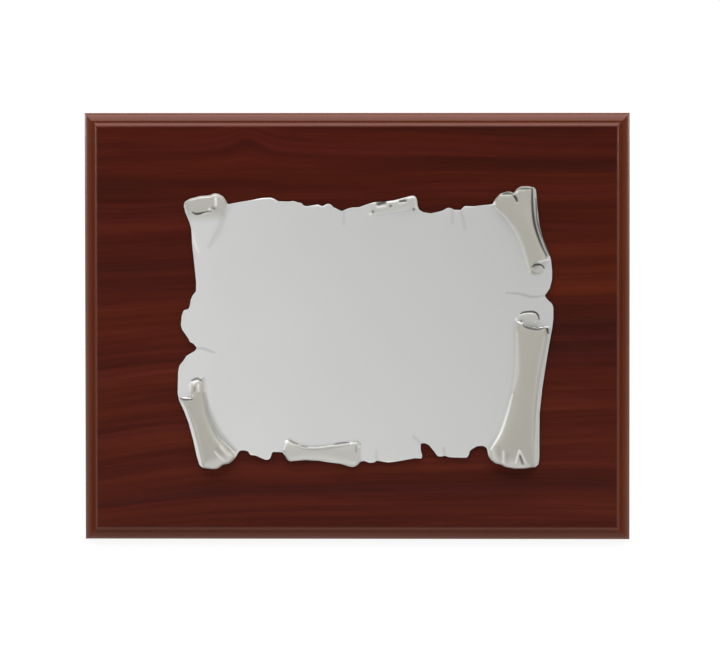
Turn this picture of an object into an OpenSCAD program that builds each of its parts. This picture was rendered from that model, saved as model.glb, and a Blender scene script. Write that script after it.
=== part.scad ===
// Presentation plaque: a moulded mahogany-finish board with a pressed metal
// parchment on its face, standing on a folding easel strut.
// Units are millimetres, +Z is up and the face looks towards -Y.
// The pieces are drawn upright in board coordinates (x from the centre, y = 0 and
// z = 0 on the lower rear edge the board stands on, +y behind the board) and are
// then leaned back together onto the strut.

/* [Board] */
// overall width of the board
board_w = 230; // [150:5:400]
// overall height of the board
board_h = 180; // [120:5:300]
// thickness of the core
core_t = 15; // [10:0.5:25]
// thickness of the front and back laminates
laminate_t = 0.5; // [0.3:0.1:1]
// chamfer round the back edge
back_arris = 0.7; // [0.3:0.1:1.5]

/* [Edge moulding] */
// width and height of the outer bead
bead_w = 3.1; // [2:0.1:6]
// radius of the bead's shallow round
bead_r = 6.4; // [5:0.1:12]
// radius of the cove between the bead and the face
cove_r = 2.2; // [0.8:0.1:3]
// flat left between the cove and the edge of the face laminate
face_inset = 0.1; // [0:0.05:1]
// rounding of the face laminate's edge
face_edge_r = 0.35; // [0.1:0.05:0.45]

/* [Parchment plate] */
// sheet thickness of the pressed plate
sheet_t = 0.8; // [0.5:0.1:1.5]
// how far the rolls rise, against half-round ones
relief = 0.62; // [0.4:0.02:1]
// thickness of the double-sided tape behind it
tape_t = 0.3; // [0.2:0.1:1]

/* [Keyhole hanger] */
// height of the hanger's centre above the board's bottom edge
hanger_z = 155; // [140:1:160]
// hanger length
hanger_l = 38; // [30:1:50]
// hanger width
hanger_w = 17; // [14:1:22]
// hanger thickness
hanger_t = 1; // [0.8:0.1:1.5]
// radius of the round entry for the wall screw's head
entry_r = 5; // [3.5:0.5:6]
// half width of the slot for the wall screw's shank
slot_r = 2.2; // [1.5:0.1:3]
// rise of the slot above the entry
slot_rise = 8; // [6:1:12]
// distance between the hanger's two fixing screws
hanger_screw_pitch = 28; // [24:1:40]

/* [Easel strut] */
// backward lean of the board when it stands
lean = 15; // [5:1:25]
// opening angle of the strut from the board's back
strut_open = 26; // [15:1:40]
// height of the hinge axis above the board's bottom edge
hinge_z = 112; // [80:1:130]
// thickness of the strut
strut_t = 3; // [2:0.5:5]
// strut width at the hinge
strut_top_w = 32; // [20:1:60]
// strut width at the foot
strut_foot_w = 46; // [30:1:80]
// thickness of the rubber strip under the foot
foot_pad_t = 1; // [0.5:0.1:3]
// hinge sheet thickness
hinge_t = 0.8; // [0.6:0.1:1.5]
// hinge width along the pin
hinge_w = 30; // [20:1:50]
// radius of the hinge pin
pin_r = 1; // [0.8:0.1:2]

/* [Bumpers] */
// radius of the rubber bumpers
bumper_r = 6; // [4:0.5:10]
// height of the rubber bumpers
bumper_h = 5.5; // [5:0.5:10]
// distance of the bumper centres from the board's edges
bumper_inset = 13; // [10:1:25]

/* [Hidden] */
$fn = 64;
big = 600;                                  // reach of cutting blocks
eps = 0.02;                                 // overrun of cutting solids

// board planes, front to back
core_back = back_arris;
back_y = core_back + laminate_t;            // outer face of the back laminate
core_front = core_back - core_t;
face_y = core_front - laminate_t;           // outer face of the front laminate
cove_y = core_front + cove_r;               // foot of the cove
bead_y = cove_y + bead_w;                   // end of the bead on the board's side
bead_in = bead_w / 2 + sqrt(bead_r * bead_r / 2 - bead_w * bead_w / 4);
laminate_margin = bead_w + cove_r + face_inset;

// plate planes
plate_back = face_y - tape_t;
plate_front = plate_back - sheet_t;

// hanger
mortise_gap = 0.15;
entry_z = hanger_z - slot_rise / 2;
pocket_r = 6;
pocket_d = 6;
csk_head_r = 3.1;
csk_head_h = 1.7;
csk_shank_r = 1.4;
csk_shank_l = 11;

// hinge
pin_gap = 0.05;                             // radial clearance of the moving knuckle
knuckle_r = pin_r + hinge_t;
axis_y = back_y + knuckle_r + 0.5;          // pin axis stands off the back
mid_knuckle = 5;                            // half length of the moving knuckle
knuckle_gap = 0.3;
notch_clear = 0.8;
base_h = 20;
leaf_h = 26;
leaf_top = 2.4;                             // distance of the wide leaf below the axis
strut_top = 3;                              // distance of the strut below the axis
leaf_corner_r = 3;
tongue_w = 8;
tongue_l = 6.5;
tongue_gap = 0.35;                          // gap left at the full opening
base_screw_x = 10;
base_screw_z = [7, 15];
pan_head_r = 2.5;
pan_head_h = 1.4;
pan_shank_r = 1.2;
pan_shank_l = 9;
rivet_x = 9.5;
rivet_z = [-8, -20.5];
rivet_r = 1.5;
rivet_head_r = 2.7;
rivet_head_h = 0.9;
pin_head_r = 1.45;
pin_head_l = 0.6;

// strut planes, measured from the pin axis with the strut folded
leaf_in = knuckle_r - hinge_t;
strut_out = leaf_in;
strut_in = strut_out - strut_t;

// standing pose
foot_tilt = strut_open - lean;
axis_h = hinge_z * cos(lean) - axis_y * sin(lean);
foot_reach = (axis_h + strut_out * sin(foot_tilt)) / cos(foot_tilt);
stand_back = axis_y * cos(lean) + hinge_z * sin(lean)
           + strut_out * cos(foot_tilt) + foot_reach * sin(foot_tilt);
stand_front = (face_y + face_edge_r) * cos(lean)
            + (laminate_margin + face_edge_r) * sin(lean) - face_edge_r;
stand_mid = (stand_back + stand_front) / 2;

// torn edge of the parchment, (x, z) clockwise from the top left curl
torn_edge = [
    // top left curl
    [-72.9, 141], [-72.5, 142.8], [-70.5, 144.1], [-66, 145.3], [-61.7, 145.6],
    [-60.2, 146.4], [-58.4, 146.3], [-56.3, 145.1], [-55.3, 143.8], [-54.4, 141.7],
    // top edge, left of the fold
    [-52, 142.2], [-44.5, 143.5], [-40, 144.4], [-36, 144.6], [-34.3, 143.8],
    [-33, 143], [-28.5, 142.9], [-26.6, 143.2], [-25, 142.6], [-23.2, 142.3],
    [-22.4, 141.2], [-21.3, 140.9], [-16, 141.7], [-15, 141], [-14, 141],
    [-12.6, 142], [-11, 141.8], [-10, 140.6], [-6.2, 138.8], [-4.3, 139.8],
    [-2, 140.4], [1, 140.5], [4.5, 141.8],
    // small fold on the top edge
    [7.5, 142.7], [11.5, 142.8], [16, 143.5], [22.5, 145.3], [24, 145.5],
    [25, 144.8], [25.5, 143.4], [25.7, 141], [26.3, 139.4],
    // top edge, right of the fold
    [28, 138.4], [31.5, 137.9], [36, 139], [38.3, 140.3], [39.8, 140.1],
    [41, 139.4], [43.8, 139.3], [45.3, 141], [49.5, 140.9], [57.2, 141.8],
    // top right curl
    [58.4, 144], [60.2, 146.2], [63.5, 147.2], [65.2, 147], [66.1, 146.3],
    [67.5, 148.4], [69, 149.3], [72, 149.4], [74.6, 148.9], [75.5, 147.8],
    [76.1, 140], [76.9, 133], [78.4, 127.6], [80.6, 121.8], [81.8, 118.6],
    // right edge
    [82.3, 113.5], [82.2, 110], [81.3, 106.4], [80.3, 104.9], [79.1, 103.4],
    [80, 101.9], [82.2, 99.9], [82.8, 98.4], [82.8, 93.5], [82.2, 89],
    // bottom right curl
    [81.4, 84.8], [79.6, 74], [78.1, 64], [77, 53.5], [76.9, 34.5], [76.5, 32],
    [75.2, 31], [70, 30.3], [66.5, 30.3], [62.6, 31], [60.6, 32.1], [58.4, 32.5],
    [56.6, 33.8], [55.4, 35.6], [55, 38.2],
    // bottom edge, right part
    [54.4, 39.4], [53, 40], [50.6, 39.8], [48.8, 38.7], [47.6, 37.9], [47.2, 35.9],
    [46.4, 34.9], [41, 35], [38.4, 35.2], [37.3, 35.8], [35.8, 35.4], [34, 35.5],
    [32.6, 37.5], [30.4, 40.3], [28.6, 41.1], [26.9, 40.9], [26.9, 38.2],
    [27.6, 35.4], [27.2, 34.5], [24.5, 34.7], [16.2, 33.2], [13, 32.9], [8.3, 33.7],
    [7.5, 32.9], [5.2, 32.7], [3, 33.6], [1.5, 33.2], [0.3, 31.8],
    // bottom centre curl
    [-0.9, 31], [-2.6, 31], [-7, 32.3], [-11, 32.8], [-16, 33.6], [-22, 33.9],
    [-28, 33.3], [-29.2, 33.8], [-30.2, 35.5], [-31.4, 37.2],
    // bottom edge, left part
    [-35.7, 37.3], [-36.3, 35.3], [-36.8, 34.2], [-38.5, 33.9], [-42.8, 35.8],
    [-45, 36], [-45.9, 37.6], [-47.7, 38], [-49.6, 37.8], [-50.5, 36.3],
    // bottom left curl
    [-51.3, 34.6], [-53.8, 32.4], [-56.6, 31.9], [-58.6, 30.2], [-61, 30],
    [-65, 30.5], [-66.5, 31.7], [-67.6, 35.5], [-69, 42], [-71, 49.5],
    [-72.8, 54.3], [-75, 59],
    // left edge
    [-75.6, 62], [-75.4, 71], [-74.8, 73.8], [-73.3, 75.6], [-71.8, 77.9],
    [-68.3, 79.9], [-67.4, 81.2], [-69, 83.2], [-70.4, 83.7], [-71.2, 85.5],
    [-73.7, 89], [-74.2, 91], [-73.8, 95], [-73, 97.1], [-70.9, 97.6], [-70.3, 99.2],
    [-70, 101.6], [-69, 103.7], [-67.8, 104.9], [-67.7, 109], [-68.6, 118],
    [-69.4, 125.4], [-69.7, 131.5], [-70.5, 134.3], [-72.2, 138.4]
];

// rolled curls: stations along each roll, [[x, z] one side, [x, z] other side, rise];
// they run downwards on the side rolls and to the right on the top and bottom ones
top_left_cone = [
    [[-74, 147.5], [-53.5, 148], 4.2], [[-72.9, 140.5], [-54.4, 141.5], 4],
    [[-70.7, 134.5], [-57, 132.5], 2.6], [[-69.2, 126.5], [-61, 126.5], 1.2],
    [[-66.4, 119.5], [-64.9, 119.5], 0.2]
];
top_right_roll = [
    [[56.8, 146], [75.8, 151.5], 4.4], [[61.1, 138.2], [75.5, 141], 4.4],
    [[65.5, 132], [76.4, 132], 4], [[69.9, 123.2], [79.3, 124.5], 3.2],
    [[72.2, 115], [81.7, 117.5], 2.6], [[73.6, 111.4], [80, 111.4], 2.2]
];
bottom_right_roll = [
    [[68.4, 96.5], [77, 96.2], 2.6], [[67.3, 90], [80.6, 90], 3.4],
    [[67.2, 80], [80.8, 80], 3.6], [[66.6, 67], [79.3, 67], 3.9],
    [[64.2, 57], [78, 57], 4.2], [[61.2, 47], [77.3, 47], 4.4],
    [[57.6, 40.5], [77.2, 38], 4.4], [[53.5, 29], [77.6, 27], 4.2]
];
bottom_left_roll = [
    [[-70, 67.6], [-65.2, 67.6], 2], [[-75.2, 59.6], [-64.3, 60.2], 2.6],
    [[-72.4, 53], [-62.4, 52.5], 3.2], [[-69.5, 44], [-58.7, 44], 3.8],
    [[-67.6, 36], [-52, 38.4], 4], [[-66.6, 27], [-49.5, 30], 4.2]
];
bottom_centre_roll = [
    [[-30.6, 35.2], [-30, 41.4], 2.2], [[-27, 32.6], [-25, 41], 2.6],
    [[-20, 33], [-20, 39.5], 2.6], [[-12, 32.4], [-12, 39.9], 2.8],
    [[-4, 30.6], [-4, 41.1], 3], [[0.6, 31], [1.4, 40.9], 2.7]
];
top_edge_fold = [
    [[6.4, 137], [6.8, 144], 0.5], [[9.5, 136.8], [10, 144], 1.3],
    [[16.5, 138], [16, 145], 1.5], [[24.6, 139], [24, 147], 1.7],
    [[25.8, 139.6], [25.6, 146], 1.1]
];
curls = [top_left_cone, top_right_roll, bottom_right_roll, bottom_left_roll,
         bottom_centre_roll, top_edge_fold];
curl_steps = 12;                            // flats round each roll's half ellipse
curl_root = 0.4;                            // depth of a roll's root in the sheet

// ---- helpers -------------------------------------------------------------

// lean everything back onto the strut and centre the footprint
module standing() {
    translate([0, -stand_mid, 0]) rotate([-lean, 0, 0]) children();
}

// strut pieces: drawn folded about the pin axis, then swung open
module opened() {
    standing() translate([0, axis_y, hinge_z]) rotate([strut_open, 0, 0]) children();
}

// a 2D shape in (x, z), extruded forwards by t from the plane y = from_y
module facing(from_y, t) {
    translate([0, from_y, 0]) rotate([90, 0, 0]) linear_extrude(t) children();
}

// turns a solid's +z towards the back of the board
module rearwards(x, y, z) {
    translate([x, y, z]) rotate([-90, 0, 0]) children();
}

// the two edge sections crossed over each other: a board with mitred mouldings
module crossed(w, h) {
    intersection() {
        translate([-w / 2, 0, h / 2]) rotate([90, 0, 90]) linear_extrude(w) children(0);
        rotate([0, 0, 90]) linear_extrude(h) children(1);
    }
}

module stadium(l, r) {
    for (s = [-1, 1]) translate([0, s * (l / 2 - r)]) circle(r = r);
    translate([-r, r - l / 2]) square([2 * r, l - 2 * r]);
}

module cross_recess(r, depth) {
    for (a = [0, 90]) rotate([0, 0, a])
        translate([-r, -0.3, -depth]) cube([2 * r, 0.6, depth + 2]);
}

// ---- board ---------------------------------------------------------------

// section of the core across one span: x is the thickness, y the span
module core_section(span) {
    half = span / 2;
    difference() {
        union() {
            translate([bead_y, -half]) square([core_back - bead_y, span]);
            translate([core_front, bead_w - half])
                square([cove_r + bead_w, span - 2 * bead_w]);
            intersection() {
                translate([cove_y, -half]) square([bead_w, span]);
                for (s = [-1, 1])
                    translate([cove_y + bead_in, s * (half - bead_in)]) circle(r = bead_r);
            }
        }
        for (s = [-1, 1]) {
            translate([core_front, s * (half - bead_w)]) circle(r = cove_r);
            translate([core_back, s * half]) rotate([0, 0, 45])
                square([back_arris * sqrt(2), back_arris * sqrt(2)], center = true);
        }
    }
}

module face_section(span) {
    half = span / 2 - laminate_margin;
    translate([face_y + face_edge_r, -half])
        square([laminate_t - face_edge_r, 2 * half]);
    translate([face_y, face_edge_r - half])
        square([laminate_t, 2 * (half - face_edge_r)]);
    for (s = [-1, 1]) intersection() {
        translate([face_y + face_edge_r, s * (half - face_edge_r)])
            circle(r = face_edge_r);
        translate([face_y, -half]) square([laminate_t, 2 * half]);
    }
}

module back_section(span) {
    half = span / 2 - back_arris;
    polygon([[core_back, -half], [back_y, laminate_t - half],
             [back_y, half - laminate_t], [core_back, half]]);
}

module hanger_mortise() {
    translate([0, hanger_z, 0]) stadium(hanger_l + 2 * mortise_gap,
                                        hanger_w / 2 + mortise_gap);
}

module keyhole_shape(r, s) {
    translate([0, entry_z]) circle(r = r);
    translate([0, entry_z + slot_rise]) circle(r = s);
    translate([-s, entry_z]) square([2 * s, slot_rise]);
}

module board_core() {
    color([0.30, 0.14, 0.07]) standing() difference() {
        crossed(board_w, board_h) {
            core_section(board_h);
            core_section(board_w);
        }
        facing(core_back + eps, hanger_t - laminate_t + eps) hanger_mortise();
        facing(core_back, pocket_d) keyhole_shape(pocket_r, pocket_r);
        hanger_screw_solids();
        base_screw_solids();
    }
}

module front_laminate() {
    color([0.32, 0.10, 0.07]) standing() crossed(board_w, board_h) {
        face_section(board_h);
        face_section(board_w);
    }
}

module back_laminate() {
    color([0.26, 0.13, 0.09]) standing() difference() {
        crossed(board_w, board_h) {
            back_section(board_h);
            back_section(board_w);
        }
        facing(back_y + eps, laminate_t + 2 * eps) hanger_mortise();
        base_screw_solids();
    }
}

// ---- parchment plate -----------------------------------------------------

// one cross-section of a roll: a half ellipse from side to side, closed behind;
// y0 is the plane it stands on, root its depth behind that, skin narrows it
function curl_ring(st, y0, root, skin) =
    let (d = st[1] - st[0], u = d / norm(d), a = st[0] + u * skin, b = st[1] - u * skin)
    concat(
        [for (j = [0 : curl_steps])
            let (t = 180 * j / curl_steps, p = a + (b - a) * (1 - cos(t)) / 2)
            [p[0], y0 - st[2] * relief * sin(t), p[1]]],
        [[b[0], y0 + root, b[1]], [a[0], y0 + root, a[1]]]);

// a roll lofted through its stations
module curl_body(stations, y0, root, skin) {
    m = curl_steps + 3;
    n = len(stations);
    polyhedron(
        points = [for (st = stations) each curl_ring(st, y0, root, skin)],
        faces = concat(
            [[for (j = [m - 1 : -1 : 0]) j]],
            [[for (j = [0 : m - 1]) (n - 1) * m + j]],
            [for (i = [0 : n - 2], j = [0 : m - 1]) each let (k = (j + 1) % m)
                [[i * m + j, i * m + k, (i + 1) * m + j],
                 [i * m + k, (i + 1) * m + k, (i + 1) * m + j]]]));
}

module parchment_plate() {
    color([0.76, 0.76, 0.75]) standing() difference() {
        intersection() {
            union() {
                facing(plate_back, sheet_t) polygon(torn_edge);
                for (c = curls) curl_body(c, plate_front, curl_root, 0);
            }
            facing(plate_back, 12) polygon(torn_edge);
        }
        // hollow backs of the four big rolls, short of the torn edge
        for (i = [0 : 3]) intersection() {
            curl_body(curls[i], plate_back, 1, sheet_t);
            facing(plate_back + eps, 12) hollow_window(i);
        }
    }
}

// part of each roll that is hollow behind
module hollow_window(i) {
    if (i == 0) polygon([[-68, 122], [-70.5, 141], [-67, 143.5], [-57, 143], [-57, 135]]);
    if (i == 1) polygon([[60, 142], [62, 145], [69, 146], [73, 146.5], [75, 132],
                         [79, 118], [74, 115]]);
    if (i == 2) polygon([[57, 38], [58.5, 35], [64, 33], [74.5, 33], [75, 54],
                         [79.5, 90], [69.5, 92], [66, 62]]);
    if (i == 3) polygon([[-72.5, 60], [-66, 63], [-53.5, 37.5], [-57, 34], [-64.5, 33]]);
}

module plate_tape() {
    color([0.85, 0.85, 0.82]) standing()
        for (z = [52, 88, 124])
            facing(face_y, tape_t) translate([-56, z - 6]) square([112, 12]);
}

// ---- keyhole hanger ------------------------------------------------------

module csk_screw() {
    translate([0, 0, -csk_head_h]) cylinder(h = csk_head_h, r1 = csk_shank_r, r2 = csk_head_r);
    translate([0, 0, -csk_shank_l]) cylinder(h = csk_shank_l - csk_head_h + eps, r = csk_shank_r);
    translate([0, 0, -csk_shank_l - 2]) cylinder(h = 2, r1 = 0.3, r2 = csk_shank_r);
}

module hanger_screw_solids() {
    for (s = [-1, 1])
        rearwards(0, back_y, hanger_z + s * hanger_screw_pitch / 2) csk_screw();
}

module keyhole_plate() {
    color([0.66, 0.66, 0.68]) standing() difference() {
        facing(back_y, hanger_t) difference() {
            translate([0, hanger_z]) stadium(hanger_l, hanger_w / 2);
            keyhole_shape(entry_r, slot_r);
        }
        hanger_screw_solids();
    }
}

module keyhole_screws() {
    color([0.70, 0.62, 0.42]) standing() difference() {
        hanger_screw_solids();
        for (s = [-1, 1])
            rearwards(0, back_y, hanger_z + s * hanger_screw_pitch / 2) cross_recess(1.6, 1);
    }
}

// ---- strut hinge ---------------------------------------------------------

module pan_screw() {
    cap = (pan_head_r * pan_head_r + pan_head_h * pan_head_h) / (2 * pan_head_h);
    intersection() {
        translate([0, 0, pan_head_h - cap]) sphere(r = cap);
        cylinder(h = pan_head_h + 1, r = pan_head_r);
    }
    translate([0, 0, -pan_shank_l]) cylinder(h = pan_shank_l + eps, r = pan_shank_r);
    translate([0, 0, -pan_shank_l - 2]) cylinder(h = 2, r1 = 0.3, r2 = pan_shank_r);
}

module at_base_screws() {
    for (s = [-1, 1]) for (z = base_screw_z)
        rearwards(s * base_screw_x, back_y + hinge_t, hinge_z + z) children();
}

module base_screw_solids() {
    at_base_screws() pan_screw();
}

module along_pin(x0, l, r) {
    translate([x0, axis_y, hinge_z]) rotate([0, 90, 0]) cylinder(h = l, r = r);
}

module hinge_base() {
    outer = mid_knuckle + knuckle_gap;
    color([0.74, 0.62, 0.36]) standing() difference() {
        union() {
            facing(back_y + hinge_t, hinge_t) translate([0, hinge_z]) difference() {
                union() {
                    translate([-hinge_w / 2, 0]) square([hinge_w, base_h - leaf_corner_r]);
                    translate([leaf_corner_r - hinge_w / 2, 0])
                        square([hinge_w - 2 * leaf_corner_r, base_h]);
                    for (s = [-1, 1])
                        translate([s * (hinge_w / 2 - leaf_corner_r), base_h - leaf_corner_r])
                            circle(r = leaf_corner_r);
                }
                translate([-outer, -1]) square([2 * outer, knuckle_r + notch_clear + 1]);
            }
            for (x = [-hinge_w / 2, outer]) {
                along_pin(x, hinge_w / 2 - outer, knuckle_r);
                translate([x, back_y, hinge_z])
                    cube([hinge_w / 2 - outer, axis_y - back_y, knuckle_r]);
            }
        }
        along_pin(-hinge_w, 2 * hinge_w, pin_r);
        base_screw_solids();
    }
}

module hinge_base_screws() {
    color([0.72, 0.60, 0.34]) standing() difference() {
        base_screw_solids();
        at_base_screws() translate([0, 0, pan_head_h]) cross_recess(1.3, 0.9);
    }
}

module hinge_pin() {
    color([0.70, 0.70, 0.72]) standing() {
        along_pin(-hinge_w / 2 - eps, hinge_w + 2 * eps, pin_r);
        for (x = [-hinge_w / 2 - pin_head_l, hinge_w / 2])
            along_pin(x, pin_head_l, pin_head_r);
    }
}

module rivet_shanks() {
    for (s = [-1, 1]) for (z = rivet_z)
        rearwards(s * rivet_x, strut_in, z) cylinder(h = strut_t + hinge_t, r = rivet_r);
}

module hinge_leaf() {
    color([0.74, 0.62, 0.36]) opened() difference() {
        union() {
            translate([-mid_knuckle, 0, 0]) rotate([0, 90, 0])
                cylinder(h = 2 * mid_knuckle, r = knuckle_r);
            translate([-mid_knuckle, leaf_in, -leaf_top - 1])
                cube([2 * mid_knuckle, hinge_t, leaf_top + 1]);
            facing(leaf_in + hinge_t, hinge_t) translate([0, -leaf_h]) union() {
                translate([-hinge_w / 2, leaf_corner_r])
                    square([hinge_w, leaf_h - leaf_top - leaf_corner_r]);
                translate([leaf_corner_r - hinge_w / 2, 0])
                    square([hinge_w - 2 * leaf_corner_r, leaf_h - leaf_top]);
                for (s = [-1, 1])
                    translate([s * (hinge_w / 2 - leaf_corner_r), leaf_corner_r])
                        circle(r = leaf_corner_r);
            }
            // stop tongue: lies along the base when the strut is fully open
            rotate([-strut_open, 0, 0])
                translate([-tongue_w / 2, back_y + hinge_t + tongue_gap - axis_y, 0])
                    cube([tongue_w, hinge_t, tongue_l]);
        }
        translate([-hinge_w, 0, 0]) rotate([0, 90, 0])
            cylinder(h = 2 * hinge_w, r = pin_r + pin_gap);
        rivet_shanks();
    }
}

module leaf_rivets() {
    cap = (rivet_head_r * rivet_head_r + rivet_head_h * rivet_head_h) / (2 * rivet_head_h);
    color([0.72, 0.60, 0.34]) opened() {
        rivet_shanks();
        for (s = [-1, 1]) for (z = rivet_z)
            rearwards(s * rivet_x, leaf_in + hinge_t, z) intersection() {
                translate([0, 0, rivet_head_h - cap]) sphere(r = cap);
                cylinder(h = rivet_head_h + 1, r = rivet_head_r);
            }
    }
}

// strut blank, cut long so that the foot can be trimmed to the table
module strut_blank() {
    opened() difference() {
        facing(strut_out, strut_t) polygon([
            [-strut_top_w / 2, -strut_top], [strut_top_w / 2, -strut_top],
            [strut_foot_w / 2, -foot_reach], [strut_foot_w / 2, -foot_reach - 5],
            [-strut_foot_w / 2, -foot_reach - 5], [-strut_foot_w / 2, -foot_reach]]);
        rivet_shanks();
    }
}

module strut() {
    color([0.28, 0.13, 0.08]) intersection() {
        strut_blank();
        translate([-big / 2, -big / 2, foot_pad_t]) cube([big, big, big]);
    }
}

module strut_foot_pad() {
    color([0.12, 0.12, 0.12]) intersection() {
        strut_blank();
        translate([-big / 2, -big / 2, 0]) cube([big, big, foot_pad_t]);
    }
}

// ---- bumpers -------------------------------------------------------------

module back_bumpers() {
    color([0.10, 0.10, 0.10]) standing()
        for (x = [bumper_inset - board_w / 2, board_w / 2 - bumper_inset])
            for (z = [bumper_inset, board_h - bumper_inset])
                rearwards(x, back_y, z) {
                    cylinder(h = bumper_h - 1, r = bumper_r);
                    translate([0, 0, bumper_h - 1]) cylinder(h = 1, r1 = bumper_r, r2 = bumper_r - 1);
                }
}

// ---- nodes ---------------------------------------------------------------

board_core();
front_laminate();
back_laminate();
parchment_plate();
plate_tape();
keyhole_plate();
keyhole_screws();
hinge_base();
hinge_base_screws();
hinge_pin();
hinge_leaf();
leaf_rivets();
strut();
strut_foot_pad();
back_bumpers();
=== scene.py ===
# The looks of the presentation plaque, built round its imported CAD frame.
# Board coordinates are millimetres: x from the centre, z up the face from the bottom
# edge, and height is measured forwards from the plate's flat front.

import math

import bpy
import numpy as np
from mathutils import Matrix, Vector
from mathutils.geometry import delaunay_2d_cdt


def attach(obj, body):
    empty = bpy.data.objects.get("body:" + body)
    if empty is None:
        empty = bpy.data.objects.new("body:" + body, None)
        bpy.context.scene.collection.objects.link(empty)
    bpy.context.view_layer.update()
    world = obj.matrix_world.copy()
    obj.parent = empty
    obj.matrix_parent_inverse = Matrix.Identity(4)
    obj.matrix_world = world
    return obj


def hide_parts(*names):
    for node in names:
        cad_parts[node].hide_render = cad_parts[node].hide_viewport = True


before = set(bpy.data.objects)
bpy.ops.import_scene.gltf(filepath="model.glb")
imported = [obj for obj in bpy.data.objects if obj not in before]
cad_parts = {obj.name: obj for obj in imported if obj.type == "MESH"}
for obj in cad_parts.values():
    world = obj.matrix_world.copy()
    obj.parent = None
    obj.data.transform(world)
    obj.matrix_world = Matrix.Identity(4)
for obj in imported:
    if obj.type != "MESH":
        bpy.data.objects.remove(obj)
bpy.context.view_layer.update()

MM = 0.001                        # metres in a millimetre
LEAN = math.radians(15)           # the board leans back on its strut
PLATE_BACK = -15.1                # plane of the plate's back, board y in mm
SHEET = 0.8                       # plate thickness, mm


# ---- frame of the leaning board ------------------------------------------------

def raw_board_y(points):
    """Depth of world points (mm) across the leaning board, before its offset."""
    return points[:, 1] * math.cos(LEAN) - points[:, 2] * math.sin(LEAN)


def node_points(name):
    """A CAD node's points, world mm."""
    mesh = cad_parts[name].data
    co = np.empty(len(mesh.vertices) * 3)
    mesh.vertices.foreach_get("co", co)
    return co.reshape(-1, 3) / MM


plate_points = node_points("parchment_plate")
# how far the board's own origin stands in front of the world's, mm
STAND_MID = (PLATE_BACK - raw_board_y(plate_points).max()) / math.cos(LEAN)


def to_board(points):
    """World mm to board mm."""
    y = points[:, 1] + STAND_MID
    z = points[:, 2]
    return np.stack([points[:, 0], y * math.cos(LEAN) - z * math.sin(LEAN),
                     y * math.sin(LEAN) + z * math.cos(LEAN)], axis=1)


def to_world(x, y, z):
    """Board mm to world metres."""
    return np.stack([x, y * math.cos(LEAN) + z * math.sin(LEAN) - STAND_MID,
                     z * math.cos(LEAN) - y * math.sin(LEAN)], axis=1) * MM


# ---- node helpers --------------------------------------------------------------

class Shader:
    """A material's nodes: one Principled surface and what drives it."""

    def __init__(self, name):
        self.material = bpy.data.materials.new(name)
        self.material.use_nodes = True
        self.tree = self.material.node_tree
        self.surface = self.tree.nodes["Principled BSDF"]

    def set(self, **sockets):
        """Plain values on the surface's own sockets, with _ for a space."""
        for name, value in sockets.items():
            self.surface.inputs[name.replace("_", " ")].default_value = value

    def add(self, kind, links=None, **settings):
        """A new node with its settings, and what goes into its sockets."""
        node = self.tree.nodes.new(kind)
        for key, value in settings.items():
            setattr(node, key, value)
        for socket, value in (links or {}).items():
            self.feed(node.inputs[socket], value)
        return node

    def feed(self, socket, value):
        """Links an output into the socket, or sets a plain value on it."""
        if isinstance(value, bpy.types.NodeSocket):
            self.tree.links.new(value, socket)
        else:
            socket.default_value = value

    def drive(self, socket, value):
        """Feeds one of the surface's own sockets."""
        self.feed(self.surface.inputs[socket], value)

    def coords(self, scale=(1, 1, 1)):
        """Object coordinates in metres, turned upright with the board and scaled."""
        source = self.add("ShaderNodeTexCoord").outputs["Object"]
        turned = self.add("ShaderNodeMapping", {"Vector": source, "Rotation": (LEAN, 0, 0)})
        return self.stretch(turned.outputs[0], scale)

    def stretch(self, vector, scale):
        """The vector scaled, so that a noise on it runs into streaks."""
        return self.add("ShaderNodeMapping", {"Vector": vector, "Scale": scale}).outputs[0]

    def across_and_up(self, vector):
        """The vector's x and z."""
        place = self.add("ShaderNodeSeparateXYZ", {"Vector": vector})
        return place.outputs[0], place.outputs[2]

    def noise(self, vector, scale=1.0, detail=2.0, rough=0.5, warp=0.0):
        """A cloudy value round 0.5."""
        node = self.add("ShaderNodeTexNoise", {
            "Vector": vector, "Scale": scale, "Detail": detail, "Roughness": rough,
            "Distortion": warp})
        return node.outputs["Fac"]

    def ramp(self, value, stops):
        """Colours, or greys given as one number, at their places from 0 to 1."""
        node = self.add("ShaderNodeValToRGB", {"Fac": value})
        elements = node.color_ramp.elements
        while len(elements) < len(stops):
            elements.new(0.5)
        for element, (place, colour) in zip(elements, stops):
            element.position = place
            element.color = (*colour, 1) if isinstance(colour, tuple) else (
                colour, colour, colour, 1)
        return node.outputs["Color"]

    def math(self, operation, a, b):
        return self.add("ShaderNodeMath", {0: a, 1: b}, operation=operation).outputs[0]

    def sum(self, a, b):
        return self.math("ADD", a, b)

    def minus(self, a, b):
        return self.math("SUBTRACT", a, b)

    def times(self, a, b):
        return self.math("MULTIPLY", a, b)

    def mix(self, factor, a, b, blend="MIX"):
        """Colour a turning into colour b as the factor goes from 0 to 1."""
        node = self.add("ShaderNodeMix", data_type="RGBA", blend_type=blend)
        self.feed(node.inputs["Factor"], factor)
        for socket, value in ((node.inputs[6], a), (node.inputs[7], b)):
            if isinstance(value, tuple):
                value = (*value, 1)
            self.feed(socket, value)
        return node.outputs[2]

    def tint(self, colour, by):
        """The colour multiplied by another colour or by a number."""
        return self.mix(1.0, colour, by, "MULTIPLY")

    def range(self, value, low, high, out_low, out_high):
        """The value carried over from low..high to out_low..out_high, and clamped."""
        node = self.add("ShaderNodeMapRange", {
            "Value": value, "From Min": low, "From Max": high,
            "To Min": out_low, "To Max": out_high})
        return node.outputs[0]

    def bump(self, height, distance, strength):
        """Fine relief on the surface, distance metres deep."""
        node = self.add("ShaderNodeBump", {
            "Height": height, "Distance": distance, "Strength": strength})
        self.drive("Normal", node.outputs[0])


# ---- materials -----------------------------------------------------------------

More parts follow.
